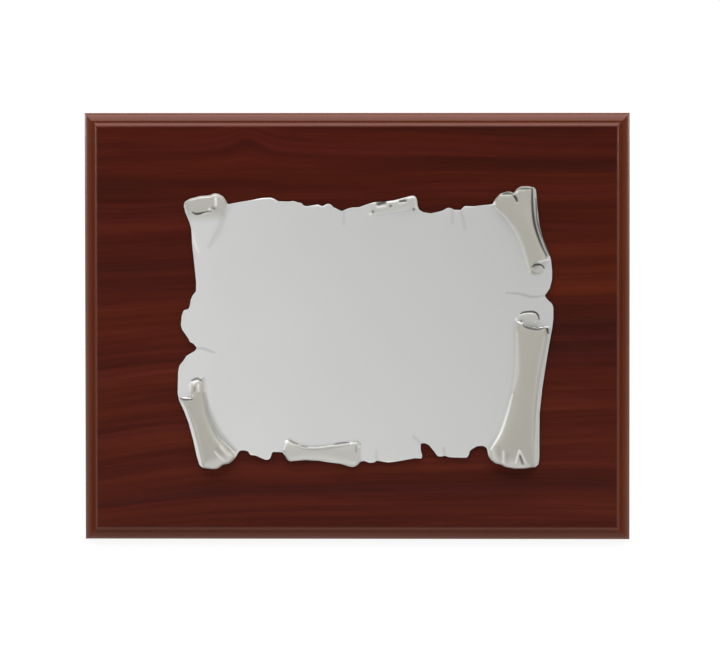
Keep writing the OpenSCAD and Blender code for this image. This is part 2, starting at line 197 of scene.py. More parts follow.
def hump(s, value, middle, width):
    """1 at the middle, falling off on both sides."""
    away = s.math("DIVIDE", s.minus(value, middle), width)
    return s.math("DIVIDE", 1.0, s.sum(1.0, s.times(away, away)))


def grain_flow(s, base, x, z):
    """Coordinates that carry the grain: they wander up and down along the board, rise
    round a cathedral figure near the top and dip at the bottom left."""
    wander, arch_rise, dip_depth = 0.012, 0.0055, 0.012    # metres
    arch = s.times(hump(s, x, -0.046, 0.009), hump(s, z, 0.165, 0.008))
    dip = s.times(hump(s, x, -0.120, 0.040), hump(s, z, 0.030, 0.034))
    drift = s.noise(s.coords((7, 1, 16)), detail=1.5)
    swing = s.times(s.minus(drift, 0.5), wander)
    swing = s.minus(swing, s.times(arch, arch_rise))
    swing = s.sum(swing, s.times(dip, dip_depth))
    shifted = s.add("ShaderNodeCombineXYZ", {"Z": swing})
    return s.add("ShaderNodeVectorMath", {0: base, 1: shifted.outputs[0]},
                 operation="ADD").outputs[0]


def mahogany_foil():
    """Printed mahogany laminate: long horizontal grain under a satin coat."""
    s = Shader("mahogany_foil")
    base = s.coords()
    x, z = s.across_and_up(base)
    flow = grain_flow(s, base, x, z)

    def streaks(along, across, detail, rough=0.55):
        return s.noise(s.stretch(flow, (along, 1, across)), detail=detail, rough=rough)

    dark = (0.043, 0.0077, 0.0041)
    middle = (0.057, 0.0088, 0.0040)
    pale = (0.079, 0.0127, 0.0054)
    towards_red = (1.10, 1.12, 0.84)
    towards_plum = (0.96, 0.95, 1.18)
    at_bottom = (1.13, 1.21, 1.42)
    at_top = (0.91, 0.77, 0.80)

    bands = s.ramp(streaks(3, 84, 3.0), [(0.32, dark), (0.47, middle), (0.64, pale)])
    # redder to the right, except along the bottom
    redder = s.times(s.range(x, -0.1, 0.1, -0.02, 0.08), s.range(z, 0.02, 0.06, -0.8, 1.0))
    hue = s.range(s.sum(streaks(3, 90, 2.5), redder), 0.36, 0.64, 0.0, 1.0)
    broad = s.mix(hue, s.tint(bands, towards_plum), s.tint(bands, towards_red))
    veins = s.range(streaks(5, 330, 2.5), 0.30, 0.70, 0.82, 1.18)
    grain = streaks(9, 560, 4.0, 0.62)
    fibre = streaks(70, 2600, 2.0)
    lines = s.times(s.range(grain, 0.30, 0.70, 0.80, 1.17), s.range(fibre, 0.35, 0.65, 0.93, 1.06))
    figured = s.tint(broad, s.times(lines, veins))
    height = s.range(z, 0.01, 0.165, 0.0, 1.0)
    s.drive("Base Color", s.tint(figured, s.mix(height, at_bottom, at_top)))
    s.drive("Roughness", s.range(fibre, 0.3, 0.7, 0.36, 0.46))
    s.bump(s.sum(grain, fibre), 0.00002, 0.4)
    s.set(Specular_IOR_Level=0.09)
    return s.material


def edge_lacquer():
    """Sprayed brown lacquer on the moulded edge, glossy with a faint orange peel."""
    s = Shader("edge_lacquer")
    cloud = s.noise(s.coords(), 14, 2)
    thick, thin = (0.086, 0.0172, 0.0058), (0.114, 0.0232, 0.0076)
    s.drive("Base Color", s.ramp(cloud, [(0.15, thick), (0.85, thin)]))
    s.drive("Roughness", s.range(cloud, 0.1, 0.9, 0.17, 0.27))
    orange_peel = s.noise(s.coords(), 900, 1)
    s.bump(orange_peel, 0.00001, 0.35)
    s.set(Specular_IOR_Level=0.2)
    return s.material


def back_foil():
    """Plain brown balancing foil with a leathery print."""
    s = Shader("back_foil")
    speck = s.noise(s.coords(), 900, 2)
    streak = s.noise(s.coords((40, 1, 500)), 1, 3)
    tone = s.ramp(streak, [(0.3, (0.036, 0.0135, 0.0085)), (0.7, (0.058, 0.022, 0.0135))])
    s.drive("Base Color", s.mix(0.25, tone, s.ramp(speck, [(0.4, 0.012), (0.6, 0.06)])))
    s.drive("Roughness", s.range(speck, 0.3, 0.7, 0.5, 0.64))
    s.bump(speck, 0.00004, 0.5)
    s.set(Specular_IOR_Level=0.3)
    return s.material


def pressed_silver():
    """Silver-finish pressed plate: satin field with painted shade darker to the right, warm rolls
    partly patina and partly painted reflection, painted shadow and some patina in the dark folds,
    painted highlights on the bright edges.
    """
    s = Shader("pressed_silver")
    finish = s.add("ShaderNodeVertexColor", layer_name="finish")
    parts = s.add("ShaderNodeSeparateColor", {"Color": finish.outputs["Color"]})
    # the three parts: warm roll tone (partly patina, partly painted reflection), dark lines
    # (painted shadow and shade, some patina in the grooves), bright lines (painted highlights)
    roll, dark, light = parts.outputs[0], parts.outputs[1], parts.outputs[2]
    x, z = s.across_and_up(s.coords())
    dull, bright = (0.705, 0.706, 0.700), (0.730, 0.731, 0.725)
    painted_shade_right = (0.610, 0.611, 0.602)
    # warm grey of the rolls: partly patina, partly painted reflection of the room
    roll_patina_and_painted_reflection = (0.485, 0.470, 0.418)
    painted_shadow_and_patina, painted_highlight = (0.020, 0.019, 0.016), (0.95, 0.95, 0.93)

    field = s.ramp(s.noise(s.coords(), 22, 2), [(0.3, dull), (0.7, bright)])
    # painted shade: the field darkens towards the right and is painted lighter towards the bottom,
    # standing in for light from the lower left
    field = s.mix(s.range(x, -0.07, 0.07, 0.0, 1.0), field, painted_shade_right)
    field = s.tint(field, s.range(z, 0.04, 0.14, 1.14, 1.01))
    # painted highlights along the bright lines and edges
    with_painted_highlights = s.mix(light, s.mix(roll, field, roll_patina_and_painted_reflection), painted_highlight)
    # painted shadow and shade along the dark lines, with some patina in the grooves
    s.drive("Base Color", s.mix(dark, with_painted_highlights, painted_shadow_and_patina))
    satin = s.noise(s.coords(), 2600, 1)
    rough = s.range(satin, 0.3, 0.7, 0.50, 0.56)
    s.drive("Roughness", s.sum(rough, s.times(roll, 0.08)))
    s.bump(satin, 0.000006, 0.4)
    s.set(Metallic=0.55)
    return s.material


def foam_tape():
    """White foam tape with open cells at its cut edges."""
    s = Shader("foam_tape")
    cells = s.noise(s.coords(), 2500, 2)
    s.drive("Base Color", s.ramp(cells, [(0.4, (0.62, 0.61, 0.57)), (0.6, (0.74, 0.73, 0.69))]))
    s.bump(cells, 0.00005, 0.6)
    s.set(Roughness=0.85)
    return s.material


def zinc_steel():
    """Bright zinc plating with faint spangle and rolling marks."""
    s = Shader("zinc_steel")
    spangle = s.add("ShaderNodeTexVoronoi", {"Vector": s.coords(), "Scale": 700.0})
    marks = s.noise(s.coords((900, 60, 900)), 1, 2)
    s.drive("Base Color", s.ramp(spangle.outputs["Color"], [
        (0.2, (0.50, 0.51, 0.53)), (0.8, (0.62, 0.63, 0.65))]))
    s.drive("Roughness", s.range(marks, 0.3, 0.7, 0.28, 0.42))
    s.bump(marks, 0.00001, 0.4)
    s.set(Metallic=1.0)
    return s.material


def hinge_brass():
    """Brass-plated sheet, a little tarnished in the hollows of its brushing."""
    s = Shader("hinge_brass")
    brush = s.noise(s.coords((60, 1500, 1500)), 1, 3)
    tarnish = s.noise(s.coords(), 260, 4, 0.65)
    clean = s.ramp(brush, [(0.3, (0.60, 0.40, 0.145)), (0.7, (0.74, 0.52, 0.215))])
    worn = s.range(tarnish, 0.52, 0.72, 0.0, 0.65)
    s.drive("Base Color", s.mix(worn, clean, (0.30, 0.185, 0.070)))
    s.drive("Roughness", s.range(tarnish, 0.3, 0.75, 0.24, 0.5))
    s.bump(brush, 0.000008, 0.5)
    s.set(Metallic=1.0)
    return s.material


def strut_board():
    """Stained hardboard: pressed brown fibres with a dull face."""
    s = Shader("strut_board")
    fibre = s.noise(s.coords(), 1600, 4, 0.7, 1.2)
    blotch = s.noise(s.coords(), 70, 3)
    tone = s.ramp(blotch, [(0.3, (0.040, 0.0165, 0.0095)), (0.7, (0.060, 0.025, 0.0140))])
    flecks = s.ramp(fibre, [(0.42, 0.55), (0.62, 1.25)])
    s.drive("Base Color", s.tint(tone, flecks))
    s.drive("Roughness", s.range(fibre, 0.3, 0.7, 0.55, 0.72))
    s.bump(fibre, 0.00006, 0.55)
    return s.material


def black_rubber():
    """Matt moulded rubber."""
    s = Shader("black_rubber")
    grit = s.noise(s.coords(), 1800, 3, 0.6)
    s.drive("Base Color", s.ramp(grit, [(0.35, (0.011, 0.011, 0.012)),
                                        (0.65, (0.026, 0.026, 0.027))]))
    s.drive("Roughness", s.range(grit, 0.3, 0.7, 0.62, 0.8))
    s.bump(grit, 0.00005, 0.4)
    return s.material


def dress(material, *nodes):
    """Gives one material to carried-over CAD nodes."""
    for name in nodes:
        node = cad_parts[name]
        for slot in node.material_slots:
            slot.material = material
        if not node.material_slots:
            node.data.materials.append(material)


# ---- parchment plate -----------------------------------------------------------

OUTLINE_STEP = 0.5                # spacing of the smoothed torn edge, mm
FINE_STEP = 0.38                  # grid in the relief
COARSE_STEP = 1.6                 # grid in the plain field
ROLL_MARGIN = 1.2                 # how far the fine grid goes on past a roll
COIL_MARGIN = 1.0                 # and past a coiled end
LINE_MARGIN = 2.2                 # and past a line, in widths of the line
GRID_GAP = 0.2                    # clear of the innermost ring
RING_DEPTHS = (0.08, 0.2, 0.35, 0.7, 1.1)    # rings of points inside the torn edge
RING_KEPT = 0.93                  # a ring's points stay where they keep this share of it
RIM = 0.2                         # radius of the rounded rim
RIM_DROP = 0.04                   # how far the rim rounds down
FLAT_RIM = 0.4                    # the relief fades out this near the torn edge
ROLL_END = 0.9                    # radius of a roll's rounded end
RELIEF = 0.68                     # how far the rolls rise, against the heights listed
MOUTH = 0.45                      # radius of the lip where a roll opens
FULLNESS = 0.6                    # exponent of a roll's section, lower is fuller
BESIDE = 0.4                      # warm tone, partly painted reflection, on the plate just beside a roll
BESIDE_REACH = 1.35               # where that has faded, in half widths of the roll
COIL_WARMTH = 0.5                 # warm tone, partly painted reflection, of a coiled end
DEEPEST = -0.35                   # no line is pressed deeper than this
RIPPLE, RIPPLE_REACH = 0.10, 6    # height of the waves, and how far in they die out
CURVE_STEPS = 6                   # straight pieces between two points of a smooth line
CHUNK = 4000                      # points measured at a time, to spare memory
NEAR_ZERO = 1e-5                  # points this near each other are one, mm

# rolls up the sides: (z, left x, right x, height)
TOP_LEFT = [(148, -72.6, -53.8, 3.0), (141, -72.2, -54.4, 3.2), (137.5, -71.2, -55.8, 2.7),
            (132, -69.6, -58.8, 1.7), (126, -68.6, -61.8, 0.9), (119.5, -67.0, -64.2, 0)]
TOP_RIGHT = [(151, 57.4, 74.6, 3.2), (144, 57.8, 74.6, 3.6), (140.3, 58.8, 74.8, 3.7),
             (136.4, 62.6, 75.1, 3.7), (131, 66.4, 76.1, 3.5), (124.5, 69.5, 78.2, 3.1),
             (117, 71.7, 80.9, 2.6), (112, 73.2, 81.2, 2.2)]
BOTTOM_RIGHT = [(97, 67.6, 81.2, 3.0), (88, 67.2, 80.7, 3.3), (77, 67.2, 78.9, 3.5),
                (68, 66.6, 77.3, 3.6), (58.5, 64.7, 76.1, 3.8), (51, 62.7, 75.5, 4.0),
                (45, 60.2, 75.3, 4.0), (40, 57.1, 75.2, 3.9), (28, 52.5, 75.2, 3.7)]
BOTTOM_LEFT = [(68, -71.0, -64.6, 0.4), (62, -74.6, -64.2, 2.2), (54, -71.5, -63.1, 2.9),
               (47.5, -69.2, -60.6, 3.3), (42.5, -67.9, -57.4, 3.6), (38.6, -67.0, -53.4, 3.7),
               (28, -64.6, -47.5, 3.7)]
# rolls along the top and bottom: (x, lower z, upper z, height)
BOTTOM_CENTRE = [(-30.6, 34.4, 41.9, 1.3), (-28.5, 33.4, 42.2, 1.4), (-24, 33.4, 40.4, 1.3),
                 (-19, 33.6, 39.5, 1.1), (-12, 32.8, 40.0, 1.2), (-4, 31.2, 41.1, 1.5),
                 (0.4, 31.4, 41.2, 1.3), (1.9, 32.6, 40.2, 0.8)]
TOP_CENTRE = [(5.4, 137.2, 143, 0.2), (9.5, 137.8, 144, 0.9), (16.5, 138.8, 145, 1.1),
              (24, 140, 147, 1.4), (26, 140.4, 146.6, 1.0)]
# the side rolls: rows, (x, z) along the mouth, 1 for a roll above its mouth or -1 for below
SIDE_ROLLS = [
    (TOP_LEFT, [(-80, 119.5), (-50, 119.5)], 1),
    (TOP_RIGHT, [(71, 112.6), (73, 113.4), (75, 117.2), (81, 118.8)], 1),
    (BOTTOM_RIGHT, [(66, 93.0), (69.6, 91.8), (72, 90.1), (76, 89.5), (80, 90.1)], -1),
    (BOTTOM_LEFT, [(-76, 60.2), (-69.9, 59.9), (-69.3, 66), (-64, 69.5)], -1)]
# the top left one is a cone whose warm tone, partly painted reflection, pales downwards, between
# these two heights
CONE_PALE, CONE_WARM, CONE_WARMTH = 133, 139.5, 0.8
# the rolls along the edges: rows, warmth (warm tone, partly painted reflection)
EDGE_ROLLS = [(BOTTOM_CENTRE, 0.6), (TOP_CENTRE, 0.4)]
# coiled ends: (x, z, half width, half height, rise)
COILS = [(72.4, 92.9, 4.8, 3.6, 0.35), (75.6, 114.1, 3.6, 3.0, 0.25),
         (-67.8, 63.9, 2.7, 3.9, 0.35)]


def hermite(rows, t):
    """The rows' columns at t, on a smooth curve through them."""
    rows = np.array(sorted(rows), float)
    k, v = rows[:, 0], rows[:, 1:]
    slope = np.gradient(v, k, axis=0)
    t = np.clip(t, k[0], k[-1])
    i = np.clip(np.searchsorted(k, t) - 1, 0, len(k) - 2)
    span = k[i + 1] - k[i]
    s = ((t - k[i]) / span)[:, None]
    span = span[:, None]
    return (v[i] * (2 * s**3 - 3 * s**2 + 1) + slope[i] * span * (s**3 - 2 * s**2 + s)
            + v[i + 1] * (3 * s**2 - 2 * s**3) + slope[i + 1] * span * (s**3 - s**2))


def smooth_step(low, high, value):
    """0 below low, 1 above high, and a smooth rise between."""
    s = np.clip((value - low) / (high - low), 0, 1)
    return s * s * (3 - 2 * s)


def quarter_round(share):
    """A quarter circle's rise, from 0 at share 0 to 1 at share 1."""
    return np.sqrt(np.clip(1 - (1 - np.clip(share, 0, 1)) ** 2, 0, 1))


def back_loops():
    """The closed loops round the CAD plate's flat back, in board x and z."""
    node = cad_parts["parchment_plate"]
    board = to_board(plate_points)
    keys = np.round(board[:, [0, 2]], 3)
    on_back = np.abs(board[:, 1] - PLATE_BACK) < 0.01
    node.data.calc_loop_triangles()
    edges = {}                    # an edge that two triangles share cancels out
    for triangle in node.data.loop_triangles:
        if not all(on_back[i] for i in triangle.vertices):
            continue
        corners = [tuple(keys[i]) for i in triangle.vertices]
        for a, b in zip(corners, corners[1:] + corners[:1]):
            if a == b:
                continue
            if (b, a) in edges:
                del edges[(b, a)]
            else:
                edges[(a, b)] = True
    following = dict(edges.keys())
    loops = []
    while following:
        start = next(iter(following))
        loop = [start]
        here = following.pop(start)
        while here != start and here in following:
            loop.append(here)
            here = following.pop(here)
        loops.append(np.array(loop))
    return loops


def torn_outline():
    """The plate's torn edge, anticlockwise: the largest loop, in even steps and rounded
    a little."""
    outline = max(back_loops(), key=lambda p: np.ptp(p[:, 0]) * np.ptp(p[:, 1]))
    closed = np.vstack([outline, outline[:1]])
    lengths = np.r_[0, np.cumsum(np.hypot(*np.diff(closed, axis=0).T))]
    steps = int(lengths[-1] / OUTLINE_STEP)
    at = np.linspace(0, lengths[-1], steps, endpoint=False)
    points = np.stack([np.interp(at, lengths, closed[:, i]) for i in (0, 1)], axis=1)
    points = (np.roll(points, 1, 0) + 2 * points + np.roll(points, -1, 0)) / 4
    area = np.sum(points[:, 0] * np.roll(points[:, 1], -1)
                  - points[:, 1] * np.roll(points[:, 0], -1))
    return points if area > 0 else points[::-1]


def edge_distance(points, loop):
    """Distance from each point to the closed loop, negative outside it."""
    a, b = loop, np.roll(loop, -1, 0)
    d = b - a
    squared = (d * d).sum(1)
    result = np.empty(len(points))
    for start in range(0, len(points), CHUNK):
        p = points[start:start + CHUNK, None, :]
        t = np.clip(((p - a) * d).sum(2) / squared, 0, 1)
        gap = p - a - t[..., None] * d
        near = np.sqrt((gap * gap).sum(2).min(1))
        above = (a[:, 1] > p[..., 1]) != (b[:, 1] > p[..., 1])
        with np.errstate(divide="ignore", invalid="ignore"):
            cross = a[:, 0] + (p[..., 1] - a[:, 1]) * d[:, 0] / d[:, 1]
        inside = (above & (p[..., 0] < cross)).sum(1) % 2 == 1
        result[start:start + CHUNK] = np.where(inside, near, -near)
    return result


def line_share(points, line, width):
    """Distance from each point to an open smooth line, in widths of that line there.
    A line of three or more points thins to half its width at its ends."""
    line = np.array(line, float)
    if len(line) == 1:
        return np.hypot(*(points - line[0]).T) / width
    thin = len(line) > 2
    if thin:
        at = np.linspace(0, len(line) - 1, CURVE_STEPS * (len(line) - 1) + 1)
        line = hermite([(i, *p) for i, p in enumerate(line)], at)
    best = np.full(len(points), 1e9)
    for i, (a, b) in enumerate(zip(line[:-1], line[1:])):
        d = b - a
        t = np.clip(((points - a) @ d) / max(d @ d, 1e-9), 0, 1)
        here = width
        if thin:
            here = width * (0.5 + 0.6 * np.sin(np.pi * (i + t) / (len(line) - 1)))
        best = np.minimum(best, np.hypot(*(points - a - t[:, None] * d).T) / here)
    return best


def roll_section(across, low, high, height):
    """Height and warmth across a roll that spans low to high; the warmth is the roll tone, partly
    patina and partly painted reflection.
    """
    u = np.abs((across - (low + high) / 2) / ((high - low) / 2))
    inside = np.clip(1 - u ** 3, 0, 1)
    beside = BESIDE - BESIDE * smooth_step(1.0, BESIDE_REACH, u)
    return RELIEF * height * inside ** FULLNESS, np.maximum(smooth_step(0.0, 0.22, inside), beside)


# lines pressed into the plate or standing on it: width, height, darkness (painted shadow and
# shade, with some patina in the grooves), lightness (painted highlight), then the points that it
# runs through. Lines of height 0 are painted shade or painted highlight alone.
LINES = [
    # top left cone: its mouth's lip, the fold beside it, painted highlights, the painted highlight
    # down its left flank and painted shade down its right side
    (0.50, -0.35, 0.95, 0.0, [(-69.2, 138.5), (-67.6, 137.8), (-65.8, 138), (-64.2, 138.5)]),
    (0.40, -0.4, 0.55, 0.0, [(-64.6, 138.3), (-61.6, 139)]),
    (0.45, -0.4, 0.60, 0.0, [(-60.5, 140.4), (-59.8, 139.9)]),
    (0.50, 0.3, 0.0, 0.85, [(-59.2, 141.6), (-59.3, 144.2)]),
    (0.60, 0.2, 0.0, 0.9, [(-61.9, 139.7)]),
    (0.50, 0.1, 0.0, 0.6, [(-69.6, 132), (-68.4, 126.5), (-66.5, 121.5)]),
    (1.80, 0.0, 0.10, 0.0, [(-55.8, 138), (-58.6, 131), (-62.5, 124)]),
    # top centre fold
    (1.00, -0.7, 0.85, 0.0, [(9.2, 141.8), (11.6, 142.4)]),
    (0.60, -0.5, 0.80, 0.0, [(14.3, 141)]),
    (0.60, -0.5, 0.85, 0.0, [(18.3, 143), (20.5, 143.3)]),
    (0.60, -0.4, 0.70, 0.0, [(24, 139.7)]),
    (0.55, -0.3, 0.70, 0.0, [(6.8, 138.7)]),
    (0.60, 0.1, 0.0, 0.8, [(5.8, 137.7)]),
    (0.50, 0.1, 0.0, 0.5, [(25.2, 140.6), (25.2, 143.8)]),
    # top right roll
    (0.80, 0.3, 0.0, 0.95, [(57.9, 142.2)]),
    (0.80, 0.1, 0.0, 0.32, [(58.4, 140.3), (62.5, 136.5), (66.7, 130.8), (69.7, 124.3),
                            (72.0, 116.5), (72.8, 113.2)]),
    (0.50, -0.6, 0.95, 0.0, [(73.9, 149), (74, 142), (74.8, 134), (77.1, 126.5),
                             (80.1, 119.7)]),
    (0.45, -0.3, 0.75, 0.0, [(75.4, 144), (76.1, 134), (78.7, 126.5), (81.1, 120.2)]),
    (0.50, -0.5, 0.95, 0.0, [(61.4, 146), (63.5, 146.4), (65.8, 146)]),
    (0.50, -0.9, 0.90, 0.0, [(65.7, 145.8), (66.9, 144.6), (67.6, 142.8)]),
    (0.50, 0.2, 0.0, 0.8, [(67.3, 146.9)]),
    (0.50, -0.4, 0.85, 0.0, [(68, 148.1), (70.5, 148.5), (73.4, 148.4)]),
    (0.45, 0.1, 0.0, 0.6, [(76.6, 117.6), (80.7, 118.6)]),
    (0.45, -0.6, 0.85, 0.0, [(73.9, 115.6), (75.2, 116.4), (77, 116.4), (78.4, 115.7),
                             (79, 114.6)]),
    (0.45, -0.3, 0.35, 0.0, [(73.8, 113.7), (75.2, 112.6), (77.2, 112.6)]),
    # bottom right roll
    (0.45, -0.35, 1.0, 0.0, [(69, 95.6), (70.6, 96.3), (74.5, 96.4), (76.3, 95.1),
                            (76.8, 93.1)]),
    (0.60, 0.2, 0.0, 0.6, [(67.2, 93.1)]),
    (0.50, -0.5, 0.70, 0.0, [(69.3, 92.6)]),
    (0.50, -0.25, 0.95, 0.0, [(69.9, 91.3), (71.6, 90.0), (76, 89.2), (79.7, 89.8)]),
    (0.45, -0.7, 0.95, 0.0, [(80.2, 89.4), (80.6, 87.6)]),
    (0.60, 0.1, 0.0, 0.3, [(75.2, 92.3)]),
    (0.80, 0.1, 0.0, 0.30, [(67.6, 88), (67.5, 72), (66, 63)]),
    (0.50, 0.2, 0.0, 0.9, [(65.7, 62), (63.4, 53.5), (60.4, 45), (56.4, 38.2)]),
    (1.30, 0.0, 0.0, 0.17, [(79.3, 86), (77.6, 75.4), (75.5, 58.4), (74.7, 45.7),
                            (74.6, 33)]),
    (2.60, 0.0, 0.0, 0.28, [(54, 37), (60, 32.5), (72, 31.5)]),
    (0.50, 0.2, 0.0, 0.55, [(61.8, 37.6), (61.8, 32.9)]),
    (0.80, -0.2, 0.14, 0.0, [(63.4, 36), (63.4, 33)]),
    (0.80, 0.15, 0.0, 0.28, [(57.0, 38.4), (58.6, 33.6)]),
    (0.80, -0.1, 0.12, 0.0, [(59.6, 39), (60.2, 33.4)]),
    (0.42, 0.2, 0.0, 0.75, [(68.4, 38.0), (66.9, 32.8)]),
    (0.42, 0.2, 0.0, 0.5, [(68.7, 37.8), (71.4, 32.8)]),
    (0.50, -0.4, 0.65, 0.0, [(68.8, 35.8), (69.9, 32.4)]),
    # bottom left roll
    (0.60, -0.35, 0.75, 0.0, [(-69.8, 67.3), (-67.6, 68.1), (-65.6, 67.4)]),
    (0.55, 0.2, 0.0, 0.45, [(-66.8, 65.4), (-66.8, 63)]),
    (0.45, -0.2, 0.40, 0.0, [(-68.5, 63), (-68.3, 64.3)]),
    (0.50, 0.2, 0.0, 0.7, [(-70.4, 65.6), (-70.3, 63.2)]),
    (0.50, 0.1, 0.0, 0.5, [(-69.3, 61)]),
    (0.45, -0.3, 0.90, 0.0, [(-74.6, 59.9), (-72, 59.5), (-69.4, 59.5)]),
    (0.80, 0.0, 0.0, 0.8, [(-73.7, 58.6), (-70.2, 48.6), (-67.8, 39), (-65.8, 31.6)]),
    (1.20, 0.0, 0.0, 0.24, [(-72.6, 58), (-69.0, 48.6), (-66.6, 39), (-64.8, 33)]),
    (1.30, 0.0, 0.26, 0.0, [(-64.4, 62), (-62.3, 54), (-58.9, 46.3), (-55.3, 41.8),
                            (-51.2, 38.0)]),
    (0.95, 0.0, 0.34, 0.0, [(-63.7, 60), (-62.9, 54.4), (-59.2, 45.3), (-55.8, 40.6),
                            (-52.0, 36.2)]),
    (2.20, 0.0, 0.0, 0.30, [(-66, 31), (-60, 32), (-52, 37)]),
    (0.45, 0.1, 0.0, 0.6, [(-60, 37.6), (-58, 35.3), (-56, 33.6)]),
    (0.60, 0.1, 0.0, 0.35, [(-57.4, 39.4), (-54.2, 35.8)]),
    (0.70, -0.1, 0.14, 0.0, [(-58.9, 38.6), (-55.4, 34.8)]),
    # bottom centre roll
    (0.38, 0.2, 0.0, 0.8, [(-30.6, 38.4), (-29.8, 41.4)]),
    (0.45, -0.2, 0.60, 0.0, [(-30.8, 37.6)]),
    (0.42, -0.4, 0.75, 0.0, [(-28.6, 42.3), (-27, 41.3), (-24.6, 40.5)]),
    (0.40, -0.3, 0.75, 0.0, [(-24.2, 40.1), (-22.4, 39.6), (-20.4, 39.4)]),
    (0.45, -0.1, 0.25, 0.0, [(-20.5, 39.4), (-15, 39.6), (-11, 40.2)]),
    (0.42, -0.4, 0.7, 0.0, [(-10, 40.5), (-6, 41), (-3.4, 41.2)]),
    (0.85, 0.0, 0.42, 0.0, [(-28.6, 41.8), (-24, 39.6), (-19, 38.9), (-12, 39.4),
                            (-4, 40.4), (1.4, 40.6)]),
    (0.50, 0.1, 0.0, 0.5, [(-2.6, 40.2)]),
    (1.40, 0.0, 0.0, 0.22, [(-27, 34.6), (-18, 35), (-8, 33.6), (-1, 32.8)]),
    (0.70, -0.2, 0.30, 0.0, [(-1.8, 41.2), (0.2, 41), (1.4, 39.9)]),
    (0.60, -0.2, 0.30, 0.0, [(-0.3, 39.5), (-0.3, 37.4)]),
    # creases running in from the torn edge
    (0.70, -0.09, 0.14, 0.0, [(24, 43.8), (26.6, 41)]),
    (0.70, -0.09, 0.14, 0.0, [(36.5, 39), (37, 35.8)]),
    (0.70, -0.06, 0.10, 0.0, [(8.3, 37.5), (8.3, 33.6)]),
    (0.70, -0.06, 0.10, 0.0, [(-5.6, 138.4), (-5.4, 133.5)]),
    (0.70, -0.06, 0.10, 0.0, [(40.2, 139.6), (40.2, 134)]),
    (0.70, -0.06, 0.10, 0.0, [(44, 138.8), (45.6, 131.5)]),
    (0.60, -0.08, 0.22, 0.0, [(-67.4, 81.2), (-64.3, 80.8), (-60, 79.2)]),
    (0.60, -0.08, 0.22, 0.0, [(62.8, 104.5), (69, 104), (74, 102.7), (79, 103.3)]),
]


def rolls(points):
    """Height and warmth of the rolls and coiled ends at each point; the warmth is the roll tone,
    partly patina and partly painted reflection.
    """
    x, z = points.T
    layers = []
    for rows, mouth, side in SIDE_ROLLS:
        left, right, rise = hermite(rows, z).T
        body, warmth = roll_section(x, left, right, rise)
        inside = side * (z - np.interp(x, *np.array(mouth).T))
        if rows is TOP_LEFT:
            warmth = CONE_WARMTH * warmth * smooth_step(CONE_PALE, CONE_WARM, z)
        layers.append((body * quarter_round(inside / MOUTH),
                       warmth * smooth_step(0, MOUTH, inside)))
    for rows, share in EDGE_ROLLS:
        low, high, rise = hermite(rows, x).T
        body, warmth = roll_section(z, low, high, rise)
        lip = smooth_step(0, MOUTH, np.minimum(x - rows[0][0], rows[-1][0] - x))
        layers.append((body * lip, share * warmth * lip))
    for cx, cz, half_w, half_h, rise in COILS:
        inside = np.clip(1 - ((x - cx) / half_w) ** 2 - ((z - cz) / half_h) ** 2, 0, 1)
        layers.append((rise * inside ** FULLNESS, COIL_WARMTH * smooth_step(0.05, 0.3, inside)))
    return np.maximum.reduce(np.array(layers), axis=0, initial=0.0)


def relief(points, depth):
    """Height (mm) and painted light of the plate at each point: roll tone (partly patina, partly
    painted reflection), dark (painted shadow and shade, some patina in the grooves) and light
    (painted highlight).
    """
    x, z = points.T
    height, warm = rolls(points)
    height *= quarter_round(depth / ROLL_END)
    # dark collects painted shadow and shade, with some patina in the grooves; light collects
    # painted highlights
    dark, light = np.zeros(len(points)), np.zeros(len(points))
    for width, rise, shade, highlight_paint, line in LINES:
        box = np.array(line)
        reach = 4 * width + 1     # a line has faded out well within this
        near = (points > box.min(0) - reach).all(1) & (points < box.max(0) + reach).all(1)
        if near.any():
            share = line_share(points[near], line, width)
            height[near] += rise * np.exp(-share ** 2)
            dark[near] = np.maximum(dark[near], shade * np.exp(-share ** 3))
            light[near] = np.maximum(light[near], highlight_paint * np.exp(-share ** 3))
    # waves 16 to 27 mm long
    waves = np.sin(0.31 * x + 0.8) * np.sin(0.23 * z + 0.4) + np.sin(0.19 * x - 0.33 * z)
    height += RIPPLE * waves * np.exp(-(depth / RIPPLE_REACH) ** 2)
    height = np.maximum(height, DEEPEST) * np.clip(depth / FLAT_RIM, 0, 1)
    return height - RIM_DROP * (1 - quarter_round(depth / RIM)), warm, dark, light


def in_relief(points):
    """Where the plate needs the fine grid."""
    x, z = points.T
    near = np.zeros(len(points), bool)
    for rows, _, _ in SIDE_ROLLS:
        left, right, _ = hermite(rows, z).T
        low, top = min(row[0] for row in rows), max(row[0] for row in rows)
        near |= ((x > left - ROLL_MARGIN) & (x < right + ROLL_MARGIN)
                 & (z > low - ROLL_MARGIN) & (z < top + ROLL_MARGIN))
    for rows, _ in EDGE_ROLLS:
        low, high, _ = hermite(rows, x).T
        near |= ((z > low - ROLL_MARGIN) & (z < high + ROLL_MARGIN)
                 & (x > rows[0][0] - ROLL_MARGIN) & (x < rows[-1][0] + ROLL_MARGIN))
    for width, _, _, _, line in LINES:
        box = np.array(line)
        reach = LINE_MARGIN * width
        near |= (points > box.min(0) - reach).all(1) & (points < box.max(0) + reach).all(1)
    for cx, cz, half_w, half_h, _ in COILS:
        near |= ((np.abs(x - cx) < half_w + COIL_MARGIN)
                 & (np.abs(z - cz) < half_h + COIL_MARGIN))
    return near


def hex_grid(low, high, step):
    """Points of a triangular grid over the box from low to high."""
    rows = np.arange(low[1], high[1], step * math.sqrt(3) / 2)
    columns = np.arange(low[0], high[0], step)
    x, z = np.meshgrid(columns, rows)
    x = x + (np.arange(len(rows)) % 2)[:, None] * step / 2
    return np.stack([x.ravel(), z.ravel()], axis=1)


